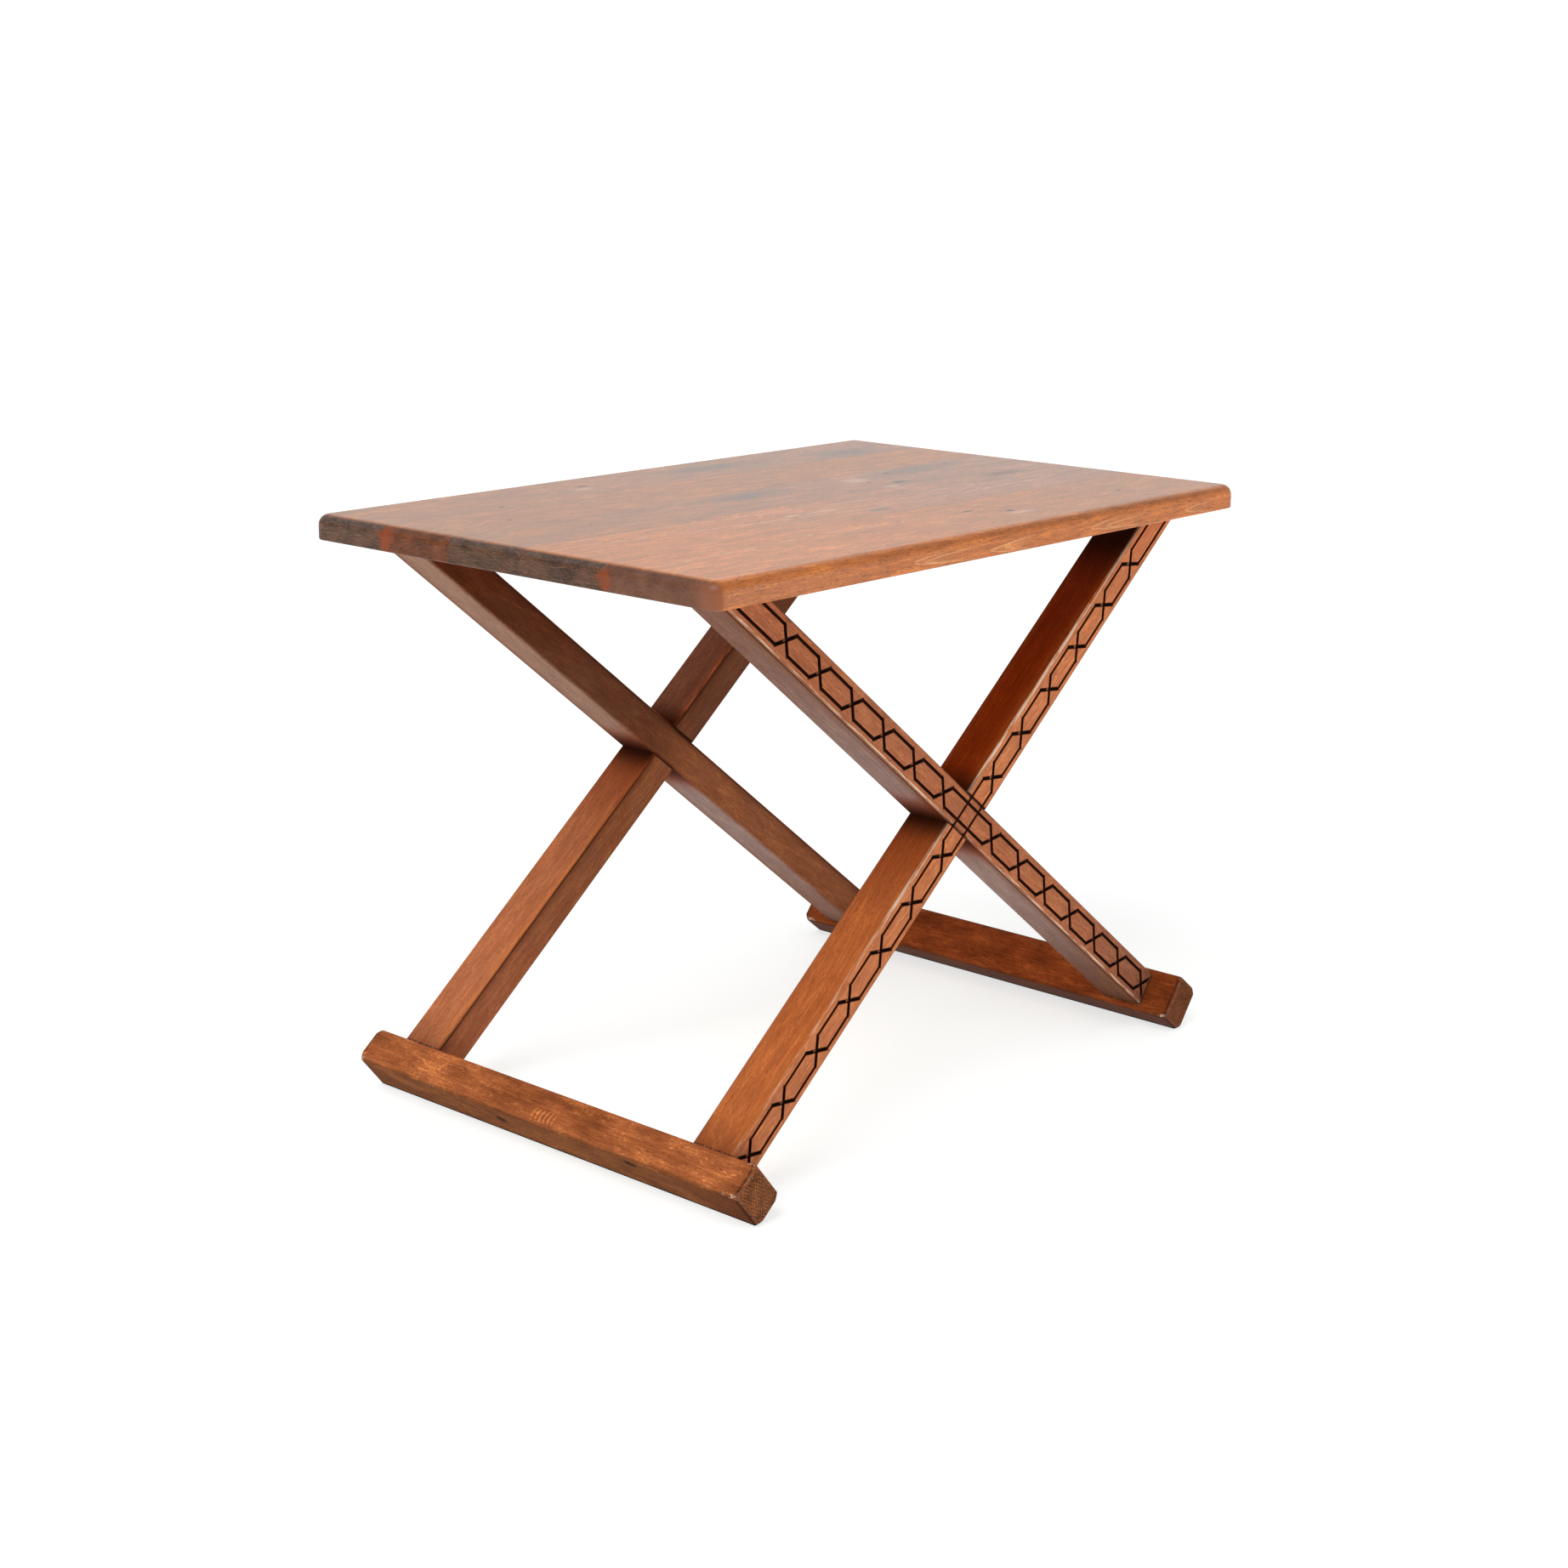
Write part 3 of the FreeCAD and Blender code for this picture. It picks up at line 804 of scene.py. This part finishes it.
STAVES = [
    dict(
        seed=3.1,
        pith=(-140.0, 392.0),
        dip=0.05,
        stains_and_shade=(AMBER, HONEY, APRICOT),
        grey=0.15,
        end_colours=WARM_ENDS,
        marks=dict(
            swellings=[((10, -134), (62, 15), 3.2), ((64, -152), (10, 5), 2.0)],
            knots=[((64, -153), (5, 4)), ((38, -133), (9, 2.5)), ((205, -152), (4, 2))],
            pale=[((66, -162), (22, 8), 0.9)],
            streaks=[((-290, -135), (-110, -122), 8.0), ((-150, -118), (20, -132), 14.0)],
            orange_ends=[(-99, 10)],
            scratched=0.25,
            arches=[
                ((-107, 432), 60.0),
                ((-96, 431), 90.0),
                ((-22, 430), 70.0),
                ((-6, 431), 50.0),
                ((100, 432), 60.0),
                ((118, 431), 90.0),
                ((226, 431), 60.0),
            ],
        ),
    ),
    dict(
        seed=8.4,
        pith=(-40.0, 404.0),
        dip=-0.04,
        stains_and_shade=(AMBER, SAND, APRICOT),
        grey=0.2,
        end_colours=DARK_ENDS,
        marks=dict(
            streaks=[
                ((-278, -17), (243, -60), 14.0),
                ((-276, -38), (30, -77), 10.0),
                ((28, -76), (250, -66), 16.0),
            ],
            pale=[((-67, -55), (12, 4)), ((-35, -56), (22, 3))],
            grey=[((2, -81), (16, 6))],
            brown=[((222, -29), (38, 13), 0.8)],
            orange_ends=[(-99, 11)],
        ),
    ),
    dict(
        seed=14.2,
        pith=(60.0, 300.0),
        dip=0.03,
        stains_and_shade=(HONEY, SAND, APRICOT),
        grey=0.35,
        end_colours=DARK_ENDS,
        marks=dict(
            grey=[((-19, 33), (55, 22), 0.9), ((175, 36), (70, 17), 0.9), ((122, 0), (12, 8))],
            pale=[((100, 28), (20, 14), 0.9), ((98, -12), (14, 8), 0.9)],
            knots=[((120, -1), (7, 3)), ((148, 36), (5, 2)), ((101, 14), (3, 2)), ((228, 38), (3, 2))],
            swellings=[((120, 0), (22, 10), 1.6)],
        ),
    ),
    dict(
        seed=21.7,
        pith=(70.0, 380.0),
        dip=0.04,
        stains_and_shade=(HONEY, HONEY, APRICOT),
        grey=0.2,
        end_colours=BROWN_ENDS,
        marks=dict(orange_ends=[(123, 18)], knots=[((-222, 77), (3, 2))], scratched=0.5),
    ),
    dict(
        seed=27.9,
        pith=(170.0, 300.0),
        dip=-0.05,
        stains_and_shade=(HONEY, SAND, APRICOT),
        grey=0.35,
        end_colours=GREY_ENDS,
        marks=dict(
            knots=[((-72, 159), (6, 4)), ((-186, 125), (4, 2))],
            swellings=[((-72, 159), (30, 10), 2.0)],
            pale=[((-82, 148), (16, 8), 0.9)],
            grey=[((70, 162), (80, 20), 0.9), ((222, 142), (60, 34), 0.9)],
            orange_ends=[(123, 8)],
        ),
    ),
]

# Each leg's face colours carry painted light and shade with the stain: darker where a face lies in
# shade, such as toward the head under the top.
LEGS = {
    "near_frame_through_leg": dict(
        rise=-1,
        out=-1,
        notched="inner",
        seed=33.0,
        pith=(30.0, -220.0),
        stains_and_shade=dict(
            upper=(WALNUT, WALNUT, WALNUT, WALNUT),
            lower=(UMBER, TAUPE, TAUPE, DUSTY),
            outer=(COCOA, COPPER, COPPER, COPPER),
            inner=(WALNUT, WALNUT, WALNUT, UMBER),
        ),
        grey=0.1,
        wear_and_highlight=(-200.0, -20.0, 0.0),
        rim=WORN,
    ),
    "near_frame_lapped_leg": dict(
        rise=1,
        out=-1,
        notched="outer",
        seed=41.0,
        pith=(-40.0, -90.0),
        stains_and_shade=dict(
            upper=(CHESTNUT, CHESTNUT, RUSSET, MAHOGANY),
            lower=(WALNUT, WALNUT, WALNUT, UMBER),
            outer=(TAN, TAN, TAN, TAN),
            inner=(WALNUT, WALNUT, WALNUT, UMBER),
        ),
        grey=0.05,
        wear_and_highlight=(-80.0, 250.0, 1.0),
        rim=COPPER,
    ),
    "far_frame_through_leg": dict(
        rise=1,
        out=1,
        notched="inner",
        seed=52.0,
        pith=(45.0, 100.0),
        stains_and_shade=dict(
            upper=(TAN, TAN, HAZEL, UMBER),
            lower=(WALNUT, WALNUT, WALNUT, UMBER),
            outer=(TAN, TAN, TAN, TAN),
            inner=(COPPER, WALNUT, UMBER, BARK),
        ),
        grey=0.1,
        wear_and_highlight=(-200.0, 200.0, 0.0),
        rim=AMBER,
    ),
    "far_frame_lapped_leg": dict(
        rise=-1,
        out=1,
        notched="outer",
        seed=63.0,
        pith=(-30.0, 250.0),
        stains_and_shade=dict(
            upper=(CHESTNUT, CHESTNUT, CHESTNUT, RUSSET),
            lower=(DUSTY, TAUPE, ROSY, ROSY),
            outer=(COPPER, COPPER, COPPER, COPPER),
            inner=(WALNUT, WALNUT, UMBER, BARK),
        ),
        grey=0.1,
        wear_and_highlight=(-200.0, 200.0, 0.0),
        rim=AMBER,
    ),
}

# The colours of the faces toward the floor and under the inside are painted darker as shade.
FEET = {
    "left_foot_rail": dict(
        rise=1,
        seed=71.0,
        pith=(-300.0, 70.0),
        stains_and_shade=(CHESTNUT, TEAK, CINNAMON, BARK),
        marked="outside",
        shades=[
            ((-46, 2), (24, 17), 0.9),
            ((38, -2), (46, 15), 0.9),
            ((96, 4), (18, 9), 0.9),
            ((-10, 8), (60, 5), 0.9),
        ],
        flecks=0.3,
        sawn=0.45,
        knots=[((45, 3), (7, 4)), ((-91, 11), (8, 4))],
        chatter=(-17.0, 8.0, -7.0),
    ),
    "right_foot_rail": dict(
        rise=-1,
        seed=83.0,
        pith=(-390.0, -40.0),
        stains_and_shade=(SIENNA, TEAK, WALNUT, BARK),
        marked="leg",
        shades=[((-172, 0), (44, 34), 0.9), ((60, 10), (30, 10), 0.9), ((-60, 0), (22, 10), 0.9)],
        flecks=0.1,
        sawn=0.1,
        knots=[],
        chatter=None,
    ),
}


def dress(node, material):
    """Give a node of the model its one material."""
    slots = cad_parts[node].data.materials
    slots.clear()
    slots.append(material)


def dress_table():
    for number, settings in enumerate(STAVES, start=1):
        dress("top_stave_%d" % number, stave_material(number, **settings))
    for node, settings in LEGS.items():
        dress(node, leg_material(node.replace("leg", "wood"), **settings))
    for node, settings in FEET.items():
        dress(node, foot_material(node.replace("rail", "wood"), **settings))
    dowels = dowel_material()
    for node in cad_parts:
        if node.endswith("dowels"):
            dress(node, dowels)


# ---- studio ----------------------------------------------------------------------------------

BACKDROP_TOWARD = (0.77, 0.64, 0.0)
BACKDROP_BRIGHTNESS = 1.12
ROOM_BRIGHTNESS = 0.25
OVERHEAD_BRIGHTNESS = 0.3
LEFT_LIGHT_FROM = Vector((-0.64, -0.05, 0.77))
LEFT_LIGHT_STRENGTH = 1.9
LEFT_LIGHT_SPREAD = math.radians(50)
FRONT_LIGHT_AT = Vector((0.3, -1.15, 0.24))
FRONT_LIGHT_SIZE = 0.9
FRONT_LIGHT_POWER = 5.5
FLOOR_GLOW = 0.68
FLOOR_COLOUR = (0.48, 0.49, 0.485, 1.0)
FLOOR_HALF_WIDTH = 30.0
COOL_WHITE = (0.98, 1.0, 0.995, 1.0)

CAMERA_AZIMUTH = math.radians(-49.824)
CAMERA_ELEVATION = math.radians(10.763)
CAMERA_ROLL = math.radians(0.645)
CAMERA_DISTANCE = 2.0068
CAMERA_LOOKS_AT = Vector((0.0503, -0.0179, 0.3638))
CAMERA_LENS = 59.61
CAMERA_SHIFT = (-0.0468, -0.1198)


def build_floor():
    """A plain pale floor, far wider than the view, lit from beneath like a light table."""
    size = FLOOR_HALF_WIDTH
    mesh = bpy.data.meshes.new("floor")
    corners = [(-size, -size, 0), (size, -size, 0), (size, size, 0), (-size, size, 0)]
    mesh.from_pydata(corners, [], [(0, 1, 2, 3)])
    floor = bpy.data.objects.new("floor", mesh)
    bpy.context.scene.collection.objects.link(floor)
    graph = Graph("floor_paper")
    paper = graph.surface(
        Base_Color=FLOOR_COLOUR,
        Roughness=1.0,
        Emission_Color=COOL_WHITE,
        Emission_Strength=FLOOR_GLOW,
    )
    mesh.materials.append(paper)


def build_room():
    """A room that is white behind the table, and dimmer overhead and on the camera's side."""
    world = bpy.data.worlds.new("studio")
    bpy.context.scene.world = world
    world.use_nodes = True
    tree = world.node_tree
    nodes = tree.nodes
    direction = nodes.new("ShaderNodeTexCoord").outputs["Generated"]
    toward = nodes.new("ShaderNodeVectorMath")
    toward.operation = "DOT_PRODUCT"
    toward.inputs[1].default_value = BACKDROP_TOWARD
    tree.links.new(direction, toward.inputs[0])
    around = nodes.new("ShaderNodeMapRange")
    around.interpolation_type = "SMOOTHSTEP"
    around.inputs["From Min"].default_value = -0.3
    around.inputs["From Max"].default_value = 0.5
    around.inputs["To Min"].default_value = ROOM_BRIGHTNESS
    around.inputs["To Max"].default_value = BACKDROP_BRIGHTNESS
    tree.links.new(toward.outputs["Value"], around.inputs["Value"])
    parts = nodes.new("ShaderNodeSeparateXYZ")
    tree.links.new(direction, parts.inputs[0])
    upward = nodes.new("ShaderNodeMapRange")
    upward.inputs["To Max"].default_value = OVERHEAD_BRIGHTNESS
    tree.links.new(parts.outputs["Z"], upward.inputs["Value"])
    tree.links.new(around.outputs["Result"], upward.inputs["To Min"])
    background = nodes["Background"]
    background.inputs["Color"].default_value = COOL_WHITE
    tree.links.new(upward.outputs["Result"], background.inputs["Strength"])


def build_lights():
    """A broad light from the upper left, and a softbox in front at the height of the table."""
    left = bpy.data.lights.new("left_light", "SUN")
    left.energy = LEFT_LIGHT_STRENGTH
    left.angle = LEFT_LIGHT_SPREAD
    left_holder = bpy.data.objects.new("left_light", left)
    left_holder.matrix_world = LEFT_LIGHT_FROM.to_track_quat("Z", "Y").to_matrix().to_4x4()

    front = bpy.data.lights.new("front_light", "AREA")
    front.size = FRONT_LIGHT_SIZE
    front.energy = FRONT_LIGHT_POWER
    front_holder = bpy.data.objects.new("front_light", front)
    front_holder.visible_camera = False
    backward = FRONT_LIGHT_AT - Vector((0, 0, CROSSING_Z * MM))
    turn = backward.to_track_quat("Z", "Y").to_matrix().to_4x4()
    front_holder.matrix_world = Matrix.Translation(FRONT_LIGHT_AT) @ turn
    for holder in (left_holder, front_holder):
        bpy.context.scene.collection.objects.link(holder)


def build_camera():
    """Seen from the near left, a little above the top."""
    back = Vector((
        math.sin(CAMERA_AZIMUTH) * math.cos(CAMERA_ELEVATION),
        -math.cos(CAMERA_AZIMUTH) * math.cos(CAMERA_ELEVATION),
        math.sin(CAMERA_ELEVATION),
    ))
    camera = bpy.data.cameras.new("camera")
    camera.sensor_width = 36.0
    camera.lens = CAMERA_LENS
    camera.shift_x, camera.shift_y = CAMERA_SHIFT
    camera.clip_end = 100.0
    holder = bpy.data.objects.new("camera", camera)
    level = (-back).to_track_quat("-Z", "Y").to_matrix().to_4x4()
    place = Matrix.Translation(CAMERA_LOOKS_AT + back * CAMERA_DISTANCE)
    holder.matrix_world = place @ level @ Matrix.Rotation(CAMERA_ROLL, 4, "Z")
    bpy.context.scene.collection.objects.link(holder)
    bpy.context.scene.camera = holder


dress_table()
build_floor()
build_room()
build_lights()
build_camera()
bpy.context.scene.view_settings.view_transform = "Standard"
